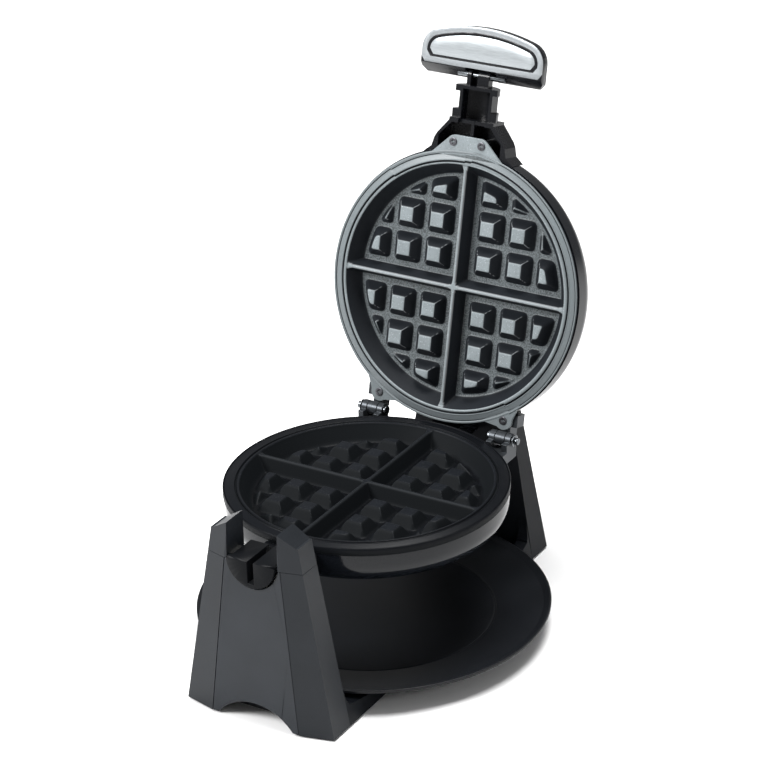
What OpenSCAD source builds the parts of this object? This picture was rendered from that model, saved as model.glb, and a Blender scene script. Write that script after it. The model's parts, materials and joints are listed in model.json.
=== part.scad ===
// Rotating waffle maker: a two-tower stand, a tray, a turning head and a hinged lid.
// Millimetres, +Z up, +X to the right, +Y from the handle tower to the hinge tower.
// Head pieces are written with the lower plate's centre at x = 0, y = 0 and the lid shut;
// at_stand() and at_lid() then put them where they are with the lid open.

/* [Head] */
// Outer radius of the lower plate's rim
rim_r = 101.7; // [96:0.1:108]
// Height of the lower plate's rim above the table
rim_z = 117.5; // [114:0.5:121]
// Visible height of a plate's rim above its shell
rim_h = 5.7; // [4:0.1:7]
// Gap between the two plates with the lid shut
plate_gap = 1; // [0.6:0.1:2]
// Outer radius of both plastic shells
shell_r = 101; // [95:0.1:107]
// Depth of a shell, from the plate's face to its flat
shell_depth = 31.5; // [29:0.5:36]
// Radius of the rounding between a shell's side and its flat
shell_round = 18.5; // [12:0.5:22]
// Wall of the shells
shell_wall = 2.5; // [1.8:0.1:3.5]

/* [Grid] */
// Radius of the mould's edge
crest_r = 90.5; // [85:0.1:92]
// Depth of the mould
mould_depth = 12.5; // [10:0.5:14]
// How far the peg tops sit below the plate's face
peg_drop = 4.2; // [3:0.1:6]
// Distance between pegs
peg_pitch = 25.4; // [23:0.1:26]
// Distance of the first row of pegs from the middle
peg_first = 20.6; // [18:0.1:22]
// Width of a peg's top
peg_top_w = 11; // [8:0.5:13]
// Width of a peg's foot
peg_foot_w = 21.6; // [18:0.1:22]
// Run of the mould's sloping edge wall
edge_run = 8; // [5:0.5:10]
// Thickness of the plates' metal
plate_t = 3; // [2:0.5:4]

/* [Pivots] */
// Height of the axis the head turns about
flip_z = 124; // [122:0.5:127]
// Radius of the two journals
journal_r = 17; // [14:0.5:18]
// Radius of the round face at the front journal's end
journal_face_r = 19; // [18:0.5:20]
// Radial clearance of running fits
run_fit = 0.05; // [0.02:0.01:0.1]
// Distance of the lid hinge behind the plate's centre
hinge_y = 101.4; // [101:0.1:106]
// Height of the lid hinge
hinge_z = 117.4; // [117:0.1:120]
// Radius of a hinge knuckle
knuckle_r = 5; // [4.5:0.1:6]
// Radius of the hinge pins
hinge_pin_r = 2.5; // [2:0.1:3]
// Angle the lid stands open
lid_open = 103.5; // [95:0.5:104]

/* [Handle] */
// Distance of the handle's folding pin from the lid's centre
fold_u = 153.5; // [152.5:0.5:156]
// Height of the folding pin above the upper plate's face
fold_h = 12.5; // [12:0.1:13]
// Half width of the handle
grip_half_w = 49; // [42:0.5:58]
// Distance of the handle's far edge from the lid's centre
grip_end = 188.3; // [182:0.5:200]
// Thickness of the handle
grip_t = 8; // [7:0.5:8.5]

/* [Stand] */
// Distance of the stand's middle behind the plate's centre
stand_y = 6; // [5:0.5:7]
// Half length of the stand along the table, to the front panels
stand_half_l = 160; // [158:0.5:170]
// Half width of a tower at the table
tower_half_w = 59.7; // [55:0.1:66]
// Narrowing of a tower's sides per millimetre of height
side_lean = 0.181; // [0.12:0.001:0.2]
// Leaning back of the panel per millimetre of height
panel_lean = 0.045; // [0.02:0.001:0.05]
// Distance of the front tower's inner face from the stand's middle
front_inner = 133; // [132:0.5:134]
// Distance of the rear tower's inner face from the stand's middle, at the table
rear_inner = 130.5; // [130:0.5:131]
// Height of the seam between a tower and its cap
seam_z = 121.5; // [119:0.5:123]
// Height of the caps
cap_z = 148; // [147:0.5:150]
// Wall of the stand's mouldings
wall = 3; // [2.4:0.1:4]
// Radius of the notch the front journal lies in
notch_r = 20; // [19.5:0.1:21]
// Height of the arch under each panel
arch_h = 16; // [10:1:22]
// Half width of the arch
arch_half_w = 31; // [24:1:34]
// Gap under the stand's mouldings
foot_gap = 1.5; // [1:0.1:3]

/* [Tray] */
// Radius of the drip tray
tray_r = 128; // [120:0.5:128.5]
// Height of the tray's rim above the table
tray_z = 19; // [16:0.5:24]
// Thickness of the tray
tray_t = 2; // [1.5:0.1:3]
// Radius of the tray's flat floor
tray_floor_r = 88; // [70:1:95]

/* [Hidden] */
$fn = 96;
eps = 0.01;

face_z = rim_z + plate_gap;
floor_r = crest_r - edge_run;
plate_back = mould_depth + plate_t;
groove_w = 1.4;
groove_d = 1.6;
crest_w = 1.1;
ridge_top_w = 2.4;
ridge_foot_w = 10;
ridge_drop = 1;

// The lid turns back about the hinge; a point (y, z) of the shut lid lands at lid_y(y, z).
function lid_y(y, z) = hinge_y + (y - hinge_y) * cos(lid_open) + (z - hinge_z) * sin(lid_open);
function arc(cx, cy, r, a0, a1, n) =
    [for (i = [0:n]) let (a = a0 + (a1 - a0) * i / n) [cx + r * cos(a), cy + r * sin(a)]];

// The row's origin is on the table, half way between the front panel and the open handle.
front_most = stand_y - stand_half_l + panel_lean * foot_gap;
rear_most = lid_y(-grip_end, face_z + fold_h + grip_t * 9 / 16);
mid_y = (front_most + rear_most) / 2;

module at_stand() {
    translate([0, -mid_y, 0]) children();
}

module at_lid() {
    at_stand() translate([0, hinge_y, hinge_z]) rotate([-lid_open, 0, 0])
        translate([0, -hinge_y, -hinge_z]) children();
}

// Places a tower's pieces: outward is -Y in the module, for the front and the rear alike.
module at_tower(rear = false) {
    at_stand() translate([0, stand_y, 0]) mirror([0, rear ? 1 : 0, 0]) children();
}

module both_sides() {
    children();
    mirror([1, 0, 0]) children();
}

// A cylinder along Y between two places.
module rod_y(r, y0, y1, x = 0, z = 0) {
    translate([x, y0, z]) rotate([-90, 0, 0]) cylinder(r = r, h = y1 - y0);
}

// A cylinder along X between two places.
module rod_x(r, x0, x1, y = 0, z = 0) {
    translate([x0, y, z]) rotate([0, 90, 0]) cylinder(r = r, h = x1 - x0);
}

module box(x0, x1, y0, y1, z0, z1) {
    translate([x0, y0, z0]) cube([x1 - x0, y1 - y0, z1 - z0]);
}

// An outline in Y and Z carried along X.
module slab_x(points, x0, x1) {
    translate([x0, 0, 0]) rotate([90, 0, 90]) linear_extrude(x1 - x0) polygon(points);
}

// An outline in X and Z carried along Y.
module slab_y(points, y0, y1) {
    translate([0, y1, 0]) rotate([90, 0, 0]) linear_extrude(y1 - y0) polygon(points);
}

// A countersunk or pan screw pointing down from z, with a cross recess.
screw_head_r = 3;
screw_head_h = 1.6;
screw_r = 1.5;
module screw_down(length) {
    difference() {
        union() {
            cylinder(r = screw_head_r, h = screw_head_h);
            translate([0, 0, -length]) cylinder(r = screw_r, h = length + eps);
        }
        for (a = [0, 90]) rotate([0, 0, a])
            box(-1.9, 1.9, -0.4, 0.4, screw_head_h - 0.9, screw_head_h + 1);
    }
}

// ---------------------------------------------------------------- plates and shells

// One peg of the grid: a four-sided frustum, as two crossing trapezoid bars.
module peg(x, y) {
    foot = peg_foot_w / 2;
    top = peg_top_w / 2;
    side = [[-foot, -mould_depth - eps], [foot, -mould_depth - eps], [top, -peg_drop], [-top, -peg_drop]];
    translate([x, y, 0]) intersection() {
        slab_x(side, -foot, foot);
        slab_y(side, -foot, foot);
    }
}

module peg_quarter() {
    intersection() {
        union() for (i = [0:2]) for (j = [0:2])
            if (i + j < 4) peg(peg_first + i * peg_pitch, peg_first + j * peg_pitch);
        translate([0, 0, -mould_depth - 1]) cylinder(r = floor_r - 1.5, h = mould_depth);
    }
}

// A grid plate with its face at z = 0 and its back below, without tabs and holes.
module grid_plate(flange_r, flange_t) {
    ridge = [[-ridge_foot_w / 2, -mould_depth - eps], [ridge_foot_w / 2, -mould_depth - eps],
        [ridge_top_w / 2, -ridge_drop], [-ridge_top_w / 2, -ridge_drop]];
    groove_r = crest_r + crest_w;
    rotate_extrude() polygon([
        [0, -plate_back], [floor_r + 1, -plate_back], [crest_r + plate_t - 1, -flange_t - 2],
        [crest_r + plate_t, -flange_t], [flange_r, -flange_t], [flange_r, 0],
        [groove_r + groove_w, 0], [groove_r + groove_w, -groove_d], [groove_r, -groove_d],
        [groove_r, 0], [crest_r, 0], [floor_r, -mould_depth], [0, -mould_depth]
    ]);
    intersection() {
        union() {
            slab_x(ridge, -crest_r, crest_r);
            slab_y(ridge, -crest_r, crest_r);
        }
        translate([0, 0, -mould_depth - 1]) cylinder(r = floor_r + edge_run / 2, h = mould_depth + 1);
    }
    for (a = [0:90:270]) rotate([0, 0, a]) peg_quarter();
}

// Outline of a shell in radius and depth below the plate's face, grown inwards by t.
function shell_outline(t, top) = concat(
    [[0, -shell_depth + t]],
    arc(shell_r - shell_round, -shell_depth + shell_round, shell_round - t, -90, 0, 12),
    [[shell_r - t, top], [0, top]]
);

module shell_form(t, top) {
    rotate_extrude() polygon(shell_outline(t, top));
}

// A shell with its open side up at z = -rim_h and a ledge that the plate stands on.
module bowl() {
    difference() {
        shell_form(0, -rim_h);
        shell_form(shell_wall, 1);
    }
}

// Four bosses under a plate's rim take the screws that come up through the shell.
boss_at = 90.8;
boss_r = 3.4;
boss_top = -rim_h - 6.3;
screw_seat = boss_top - 10;
module at_bosses() {
    for (a = [45:90:315]) rotate([0, 0, a]) translate([boss_at, 0, 0]) children();
}

module shell_bosses() {
    intersection() {
        shell_form(shell_wall / 2, 0);
        at_bosses() translate([0, 0, -shell_depth]) cylinder(r = boss_r, h = shell_depth + boss_top);
    }
}

module shell_screw_holes() {
    at_bosses() {
        translate([0, 0, screw_seat]) cylinder(r = screw_r, h = 20);
        translate([0, 0, -shell_depth - 1])
            cylinder(r = screw_head_r + 0.2, h = screw_seat + shell_depth + 1);
    }
}

module plate_bosses() {
    at_bosses() translate([0, 0, boss_top + 0.1]) cylinder(r = boss_r, h = -rim_h - boss_top);
}

module plate_boss_holes() {
    at_bosses() translate([0, 0, boss_top - 1]) cylinder(r = screw_r, h = 5);
}

// Heating element: an open ring of tube under the plate, with its two cold ends.
heater_r = 66;
heater_tube_r = 3.3;
heater_gap = 16;
heater_z = -plate_back - heater_tube_r - 0.1;
heater_end_x = heater_r * sin(heater_gap);
heater_end_y = heater_r * cos(heater_gap);
cold_end_r = 1.6;
cold_end_l = 6;
module heater() {
    color("#8d9093") {
        translate([0, 0, heater_z]) rotate([0, 0, 90 + heater_gap])
            rotate_extrude(angle = 360 - 2 * heater_gap)
                translate([heater_r, 0]) circle(r = heater_tube_r, $fn = 32);
        both_sides() rod_y(cold_end_r, heater_end_y - 2, heater_end_y + cold_end_l, heater_end_x, heater_z);
    }
}

// Pressed heat shield: a shallow dish between the heater and the shell.
shield_t = 0.8;
shield_z = heater_z - heater_tube_r - 3;
shield_r = 66;
module heat_shield() {
    color("#a9adb0") rotate_extrude() polygon([
        [0, shield_z], [shield_r, shield_z], [shield_r + 9, shield_z + 4], [shield_r + 10, shield_z + 4],
        [shield_r + 1, shield_z - shield_t], [0, shield_z - shield_t]
    ]);
}

// ---------------------------------------------------------------- lower half of the head

// Puts a piece written with a plate's face at z = 0 into the lower half.
module in_lower() {
    at_stand() translate([0, 0, rim_z]) children();
}

module lower_shell() {
    color("#15161a") in_lower() difference() {
        union() {
            bowl();
            shell_bosses();
        }
        shell_screw_holes();
        rod_y(wire_bore_r, shell_r - 20, shell_r + 5, 0, wire_z);
        for (x = [-neck_screw_x, neck_screw_x]) {
            rod_y(screw_r, -shell_r - 5, shell_r + 5, x, neck_screw_z);
            rod_y(screw_head_r + 0.2, -shell_r + shell_wall, shell_r - shell_wall, x, neck_screw_z);
        }
    }
}

module lower_plate() {
    color("#1b1c1e") in_lower() difference() {
        union() {
            grid_plate(rim_r, rim_h);
            plate_bosses();
        }
        plate_boss_holes();
    }
}

module lower_heater() {
    in_lower() heater();
}

module lower_heat_shield() {
    in_lower() heat_shield();
}

// Screws that go through a shell's bosses into the plate.
module shell_screws() {
    color("#8d9093") at_bosses() translate([0, 0, screw_seat]) rotate([180, 0, 0]) screw_down(13.8);
}

module lower_plate_screws() {
    in_lower() shell_screws();
}

// The journals' lower halves lie below the flip axis and reach under the lid's open edge.
neck_screw_x = 12;
neck_screw_z = -rim_h - 8;
wire_bore_r = 5;
wire_z = -12.4;
neck_root = 96;
neck_wall = 2.6;
deck_t = 2.6;
root_half_w = 20;
root_t = 5;
root_z0 = rim_z - rim_h - 13;
root_z1 = rim_z - rim_h - 0.5;
slot_w = 5;
slot_rib = 1.8;
journal_face_t = 5;
journal_face_y = 151;
flat_z = flip_z + 0.4;
shoe_y0 = 129;
shoe_y1 = 141;

module half_below(z) {
    box(-60, 60, -200, 200, z - 100, z);
}

// Front journal: a half tube under a flat deck, with a slotted round face and ribs along the slot.
module front_journal() {
    face_back = journal_face_y - journal_face_t;
    rib_x = slot_w / 2;
    color("#45484d") at_stand() difference() {
        intersection() {
            union() {
                difference() {
                    rod_y(journal_r, -face_back - eps, -neck_root + 4, 0, flip_z);
                    intersection() {
                        rod_y(journal_r - neck_wall, -face_back, -shell_r - 6, 0, flip_z);
                        half_below(flip_z - deck_t);
                    }
                }
                rod_y(journal_face_r, -journal_face_y, -face_back, 0, flip_z);
                intersection() {
                    both_sides()
                        box(rib_x, rib_x + slot_rib, -face_back, -shell_r + 2, flip_z - 16, flip_z + 1);
                    rod_y(journal_r, -journal_face_y, -neck_root, 0, flip_z);
                }
                box(-root_half_w, root_half_w, -shell_r - root_t, -neck_root + 4, root_z0, root_z1);
            }
            union() {
                intersection() {
                    half_below(flat_z);
                    box(-60, 60, -200, -disc_u0 - 1.5, 0, 200);
                }
                half_below(rim_z - rim_h - 0.5);
            }
        }
        box(-rib_x, rib_x, -journal_face_y - 1, -shell_r - 8, flip_z - 16, flip_z + 20);
        in_head_space();
        for (x = [-1, 1]) translate([0, 0, rim_z]) rod_y(screw_r, -120, -80, x * neck_screw_x, neck_screw_z);
    }
}

// The room taken by the head's outside, which the necks stop at.
module in_head_space() {
    translate([0, 0, rim_z]) {
        shell_form(-seat_gap, -rim_h);
        translate([0, 0, -rim_h - 1]) cylinder(r = rim_r + seat_gap, h = 20);
    }
}

module front_journal_screws() {
    color("#8d9093") at_stand() for (x = [-1, 1])
        translate([x * neck_screw_x, -shell_r + shell_wall, rim_z + neck_screw_z])
            rotate([-90, 0, 0]) screw_down(8);
}

module rear_journal_screws() {
    color("#8d9093") at_stand() for (x = [-1, 1])
        translate([x * neck_screw_x, shell_r - shell_wall, rim_z + neck_screw_z])
            rotate([90, 0, 0]) screw_down(8);
}

// Rear journal: a low arm under the lid's edge, then a full tube that the wires pass through.
arm_top = rim_z - 6;
arm_low = rim_z - 19.5;
arm_half_w = 12;
arm_end = 140;
rear_disc_y = 135.6;
rear_tube_y0 = 143.6;
rear_tube_y1 = 156;
tube_bore_z = flip_z - 9;
module rear_journal() {
    color("#15161a") at_stand() difference() {
        union() {
            rod_y(journal_r, rear_tube_y0 - eps, rear_tube_y1, 0, flip_z);
            intersection() {
                rod_y(journal_r, rear_disc_y, rear_tube_y0, 0, flip_z);
                half_below(flip_z - 2);
            }
            box(-arm_half_w, arm_half_w, neck_root, arm_end, arm_low, arm_top);
            box(-root_half_w, root_half_w, neck_root - 4, shell_r + root_t, root_z0, root_z1);
        }
        in_head_space();
        rod_y(wire_bore_r, 80, arm_end - 2, 0, rim_z + wire_z);
        rod_y(wire_bore_r, rear_disc_y - 1, 170, 0, tube_bore_z);
        box(-wire_bore_r, wire_bore_r, rear_disc_y - 1, arm_end - 2, rim_z + wire_z, tube_bore_z);
        for (x = [-1, 1]) translate([0, 0, rim_z]) rod_y(screw_r, 80, 112, x * neck_screw_x, neck_screw_z);
    }
}

// Collar that keeps the rear journal from pulling out of its bush.
module rear_journal_collar() {
    color("#8d9093") at_stand() difference() {
        rod_y(journal_r + 1.5, rear_tube_y1, rear_tube_y1 + 1.2, 0, flip_z);
        rod_y(wire_bore_r, 150, 170, 0, tube_bore_z);
    }
}

// Parts screwed under the lower heat shield's rim, in the shell's floor.
pocket_z = -shell_depth + shell_wall;
block_y = 80.5;
block_top = -23.5;
lead_r = 0.9;
module thermostat() {
    color("#c9c4b4") in_lower() translate([0, -30, -plate_back - 5]) {
        cylinder(r = 8, h = 4.9);
        translate([-4, -3, -3]) cube([8, 6, 3 + eps]);
    }
}

module thermal_fuse() {
    color("#d8d3c4") in_lower() rod_x(2.2, -10, 10, 30, -plate_back - 2.3);
}

module terminal_block() {
    color("#d8d8d2") in_lower() difference() {
        box(-20, 20, block_y - 4, block_y + 4, pocket_z + 0.8, block_top);
        for (x = [-heater_end_x, 0, heater_end_x]) translate([x, block_y, block_top - 3])
            cylinder(r = lead_r, h = 10);
    }
}

module heater_leads() {
    color("#b0493a") in_lower() both_sides() {
        rod_y(lead_r, heater_end_y + cold_end_l, block_y + lead_r, heater_end_x, heater_z);
        translate([heater_end_x, block_y, block_top - 2]) cylinder(r = lead_r, h = heater_z - block_top + 2);
    }
}

// ---------------------------------------------------------------- lid hinge

ear_in = 45;
ear_t = 4.5;
ear_gap = 8.5;
ear_out = ear_in + 2 * ear_t + ear_gap;
leaf_clear = 0.5;
bracket_low = rim_z - rim_h - 9;

// Lower hinge bracket on the right: two ears on a foot that is bolted to the shell's side.
module hinge_bracket() {
    color("#5b6066") difference() {
        union() {
            box(ear_in, ear_out, 70, hinge_y, bracket_low, rim_z - rim_h - 0.5);
            for (x = [ear_in, ear_out - ear_t]) {
                rod_x(knuckle_r, x, x + ear_t, hinge_y, hinge_z);
                box(x, x + ear_t, 92, hinge_y + knuckle_r, bracket_low, hinge_z);
            }
        }
        in_head_space();
        rod_x(hinge_pin_r, 0, 100, hinge_y, hinge_z);
    }
}

module hinge_bracket_right() {
    at_stand() hinge_bracket();
}

module hinge_bracket_left() {
    at_stand() mirror([1, 0, 0]) hinge_bracket();
}

// Hinge pin with a head on its inner end and a groove for the clip on its outer end.
pin_over = 4.5;
clip_t = 0.8;
module hinge_pin() {
    color("#85898e") difference() {
        union() {
            rod_x(hinge_pin_r, ear_in - 1, ear_out + pin_over, hinge_y, hinge_z);
            rod_x(hinge_pin_r + 1.2, ear_in - 2, ear_in, hinge_y, hinge_z);
        }
        difference() {
            rod_x(hinge_pin_r + 1, ear_out + 1, ear_out + 1 + clip_t, hinge_y, hinge_z);
            rod_x(hinge_pin_r - 0.6, ear_out, ear_out + 3, hinge_y, hinge_z);
        }
    }
}

module pin_clip() {
    color("#9b9fa3") difference() {
        rod_x(hinge_pin_r + 2, ear_out + 1, ear_out + 1 + clip_t, hinge_y, hinge_z);
        rod_x(hinge_pin_r - 0.6, ear_out, ear_out + 3, hinge_y, hinge_z);
        box(ear_out, ear_out + 3, hinge_y - 1.6, hinge_y + 1.6, hinge_z - 10, hinge_z);
    }
}

module hinge_pin_right() {
    at_stand() hinge_pin();
}

module hinge_pin_left() {
    at_stand() mirror([1, 0, 0]) hinge_pin();
}

module pin_clip_right() {
    at_stand() pin_clip();
}

module pin_clip_left() {
    at_stand() mirror([1, 0, 0]) pin_clip();
}

// ---------------------------------------------------------------- lid

// Puts a piece written with a plate's face at z = 0 into the lid, upside down.
module in_lid() {
    at_lid() translate([0, 0, face_z]) mirror([0, 0, 1]) children();
}

lid_flange_r = rim_r - 1.7;
lid_flange_t = 3;
tab_screws_top = [[-11.5, -105.4], [11.5, -105.4]];
tab_screws_rear = [[-52, 89], [52, 89]];
tab_r = 7;
top_tab = [[-29, -95], [-13, -110.5], [13, -110.5], [29, -95]];

module upper_plate() {
    color("#8b9296") in_lid() difference() {
        union() {
            grid_plate(lid_flange_r, lid_flange_t);
            translate([0, 0, -lid_flange_t]) linear_extrude(lid_flange_t) polygon(top_tab);
            for (p = tab_screws_rear) translate([p[0], p[1], -lid_flange_t])
                cylinder(r = tab_r, h = lid_flange_t);
            plate_bosses();
        }
        for (p = concat(tab_screws_top, tab_screws_rear)) translate([p[0], p[1], 0]) {
            translate([0, 0, -10]) cylinder(r = screw_r, h = 20);
            translate([0, 0, -screw_head_h + 0.2]) cylinder(r = screw_head_r + 0.4, h = 5);
        }
        plate_boss_holes();
    }
}

module upper_plate_screws() {
    color("#4a4d50") in_lid() for (p = concat(tab_screws_top, tab_screws_rear))
        translate([p[0], p[1], -screw_head_h + 0.2]) screw_down(8);
}

module upper_shell_screws() {
    in_lid() shell_screws();
}

module upper_heater() {
    in_lid() heater();
}

module upper_heat_shield() {
    in_lid() heat_shield();
}

lens_y = -62;
lens_x = 9;
lens_r = 3.5;
lid_top = -lid_flange_t - 0.2;
module upper_shell() {
    color("#121316") in_lid() difference() {
        union() {
            difference() {
                shell_form(0, lid_top);
                shell_form(shell_wall, 1);
            }
            shell_bosses();
        }
        shell_screw_holes();
        bracket_socket();
        both_sides() leaf_socket();
        for (x = [-1, 1]) translate([x * lens_x, lens_y, -shell_depth - 1]) cylinder(r = lens_r, h = 10);
    }
}

// The shell is open where the neck bracket's flange enters it.
bracket_low_z = -20;
module bracket_socket() {
    box(-27.5, 27.5, -shell_r - 8, -shell_r + 9, bracket_low_z, 5);
}

module leaf_socket() {
    box(ear_in - 0.5, ear_out + 0.5, 80, 110, -15, 5);
}

// Hinge leaf on the right of the lid: a knuckle on an arm, bolted under the plate's rear tab.
module hinge_leaf() {
    color("#5b6066") difference() {
        union() {
            rod_x(knuckle_r, ear_in + ear_t + leaf_clear, ear_out - ear_t - leaf_clear, hinge_y, hinge_z);
            box(ear_in + ear_t + leaf_clear, ear_out - ear_t - leaf_clear, 88, hinge_y, face_z + lid_flange_t,
                face_z + 14);
            box(ear_in, ear_out, 84, 93, face_z + lid_flange_t, face_z + 14);
        }
        rod_x(hinge_pin_r + run_fit, 0, 100, hinge_y, hinge_z);
        translate([0, 0, face_z]) cylinder(r = crest_r + plate_t + 0.3, h = 13);
        for (p = tab_screws_rear) translate([p[0], p[1], face_z - 1]) cylinder(r = screw_r, h = 11);
    }
}

module hinge_leaf_right() {
    at_lid() hinge_leaf();
}

module hinge_leaf_left() {
    at_lid() mirror([1, 0, 0]) hinge_leaf();
}

// ---------------------------------------------------------------- neck and handle

bracket_wall = 2.4;
bracket_rim = -lid_flange_t - 0.1;
bracket_roof = -20;
neck_half_w = 13.3;
neck_flat = -6.4;
neck_axis = face_z - flip_z;
disc_u0 = 121.5;
disc_u1 = 128.7;
collar_u0 = 141.5;
collar_u1 = 146;
bracket_plan = [[-36.5, -94.5], [-30.5, -99.5], [-28.8, -106], [-27, -109.5], [-18, -120.5], [-18, -122.5],
    [18, -122.5], [18, -120.5], [27, -109.5], [28.8, -106], [30.5, -99.5], [36.5, -94.5]];
bracket_room = [[-25.5, -93], [-25.5, -108.5], [-15.8, -119], [15.8, -119], [25.5, -108.5], [25.5, -93]];

// A stretch of the neck: the upper half of the journal, cut off flat below and at its sides.
module neck_piece(r, half_w, u0, u1, flat = neck_flat) {
    intersection() {
        rod_y(r, -u1, -u0, 0, neck_axis);
        box(-half_w, half_w, -u1, -u0, -60, flat);
    }
}

ear_r = 3.2;
ears = [[-10.2, -7.2], [-1.5, 7.5]];
ear_web = 1.2;
fold_pin_r = 1.75;
module neck_bracket() {
    color("#15161a") in_lid() difference() {
        union() {
            difference() {
                translate([0, 0, bracket_roof]) linear_extrude(bracket_rim - bracket_roof)
                    polygon(bracket_plan);
                difference() {
                    translate([0, 0, -shell_depth]) cylinder(r = shell_r, h = shell_depth);
                    box(-27.3, 27.3, -shell_r - 1, -shell_r + 8, bracket_roof, 0);
                }
            }
            neck_piece(journal_r + 1, journal_r + 1, disc_u0, disc_u1);
            neck_piece(journal_r - 0.3, neck_half_w, disc_u1 - 1, collar_u1);
            neck_piece(journal_r + 0.5, journal_r, collar_u0, collar_u1);
            for (e = ears) {
                rod_x(ear_r, e[0], e[1], -fold_u, -fold_h);
                box(e[0], e[1], -fold_u, -collar_u1 + 1, -fold_h - ear_r, -fold_h + ear_r);
            }
            box(ears[0][0], ears[1][1], -fold_u, -collar_u1 + 1, -fold_h - ear_r, -fold_h - ear_r + ear_web);
        }
        difference() {
            union() {
                translate([0, 0, bracket_roof + bracket_wall]) linear_extrude(30) polygon(bracket_room);
                neck_piece(journal_r - bracket_wall, neck_half_w - bracket_wall, disc_u0,
                    collar_u1 - bracket_wall, 0);
                box(bracket_wall - neck_half_w, neck_half_w - bracket_wall, -disc_u0 - eps, -118,
                    neck_flat, 0);
            }
            for (p = tab_screws_top) translate([p[0], p[1], bracket_roof]) cylinder(r = 4, h = 30);
            box(-1.2, 1.2, -disc_u0, -106, bracket_roof, bracket_rim - 3);
        }
        for (p = tab_screws_top) translate([p[0], p[1], -12]) cylinder(r = screw_r, h = 20);
        rod_x(fold_pin_r, -50, 50, -fold_u, -fold_h);
    }
}

module fold_pin() {
    color("#85898e") in_lid() rod_x(fold_pin_r, -19, 19, -fold_u, -fold_h);
}

grip_face = -fold_h + grip_t * 7 / 16;
grip_back = grip_face - grip_t;
grip_near = fold_u + 4;
grip_low = fold_u - 3;
grip_corner_r = 15;
grip_arc_r = 129;
recess_half_w = 12.4;
bezel_t = 0.6;
bezel_w = 4.2;
groove_gap = 2.4;
back_t = 1.2;

// Half of the D outline as seen on the lid, shrunk by g: a flat near edge, a round corner, a wide arc.
function grip_half(g, near) = let (
        arc_y = -(grip_end - grip_arc_r),
        corner_x = grip_half_w - grip_corner_r,
        reach = grip_arc_r - grip_corner_r,
        corner_y = arc_y - sqrt(reach * reach - corner_x * corner_x),
        tilt = atan2(corner_y - arc_y, corner_x)
    ) concat(
        [[grip_half_w - g - 3, -near], [grip_half_w - g, -near - 4]],
        arc(corner_x, corner_y, grip_corner_r - g, 0, tilt, 8),
        arc(0, arc_y, grip_arc_r - g, tilt, -90, 10)
    );
function mirrored(p) = [for (i = [len(p) - 2:-1:0]) [-p[i][0], p[i][1]]];
function grip_plan(g, near) = concat(grip_half(g, near), mirrored(grip_half(g, near)));

module grip_slab(g, near, z0, z1) {
    translate([0, 0, z0]) linear_extrude(z1 - z0) polygon(grip_plan(g, near));
}

module handle_grip() {
    color("#121316") in_lid() difference() {
        intersection() {
            grip_slab(0, grip_low, grip_back + back_t, grip_face);
            slab_x([[-grip_near, grip_face], [-grip_low, grip_face - 6], [-grip_low, grip_back],
                [-grip_end - 5, grip_back], [-grip_end - 5, grip_face]], -70, 70);
        }
        box(-recess_half_w, recess_half_w, -grip_near - 0.8, 0, -60, 60);
        rod_x(fold_pin_r + run_fit, -19.5, 19.5, -fold_u, -fold_h);
        difference() {
            grip_slab(0, grip_near + 0.6, grip_face - bezel_t, grip_face + 1);
            grip_slab(bezel_w, grip_near + 0.6 + bezel_w, grip_face - bezel_t - 1, grip_face + 2);
        }
        grip_slab(bezel_w + groove_gap, grip_near + bezel_w + groove_gap, grip_face - bezel_t, grip_face + 1);
        for (x = [-1, 1]) translate([x * 32, -170, grip_back]) cylinder(r = screw_r, h = 4);
    }
}

module handle_bezel() {
    color("#c8cdd0") in_lid() difference() {
        grip_slab(0, grip_near + 0.6, grip_face - bezel_t, grip_face);
        grip_slab(bezel_w, grip_near + 0.6 + bezel_w, grip_face - bezel_t - 1, grip_face + 2);
        box(-recess_half_w, recess_half_w, -grip_near - 0.8, 0, -60, 60);
    }
}

module handle_inset() {
    color("#d2d6d8") in_lid()
        grip_slab(bezel_w + groove_gap, grip_near + bezel_w + groove_gap, grip_face - bezel_t, grip_face);
}

module handle_back_plate() {
    color("#121316") in_lid() difference() {
        grip_slab(0, grip_low, grip_back, grip_back + back_t - 0.1);
        for (x = [-1, 1]) translate([x * 32, -170, grip_back - 1]) {
            cylinder(r = screw_r, h = 10);
            cylinder(r = screw_head_r + 0.2, h = 1.6);
        }
    }
}

module handle_screws() {
    color("#4a4d50") in_lid() for (x = [-1, 1]) translate([x * 32, -170, grip_back + 0.6])
        rotate([180, 0, 0]) screw_in(3);
}

// A flat screw whose head is level with its seat's outside.
module screw_in(length) {
    cylinder(r = screw_head_r, h = 0.6);
    translate([0, 0, -length]) cylinder(r = screw_r, h = length + eps);
}

module power_lens() {
    color("#c03028") in_lid() lens(lens_x);
}

module ready_lens() {
    color("#3c9a48") in_lid() lens(-lens_x);
}

module lens(x) {
    translate([x, lens_y, -shell_depth - 0.5]) cylinder(r = lens_r, h = shell_wall + 0.5);
}

module lamp_board() {
    color("#3c6b45") in_lid() box(-18, 18, lens_y - 6, lens_y + 6, pocket_z + 0.1, pocket_z + 1.3);
}

// ---------------------------------------------------------------- stand

panel_half_w = 35;
crease_lean = 0.1066;
facet_slope = 0.25;
panel_t = 2.5;
panel_gap = 0.3;
rear_lean = 0.05;

// The part of space behind one slanting facet beside the panel.
module facet(t) {
    turn = atan(facet_slope);
    tip = atan((panel_lean + facet_slope * crease_lean) * cos(turn));
    translate([0, -stand_half_l - facet_slope * panel_half_w + t, 0])
        rotate([0, 0, turn]) rotate([-tip, 0, 0])
        translate([-300, 0, -100]) cube([600, 300, 400]);
}

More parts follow.
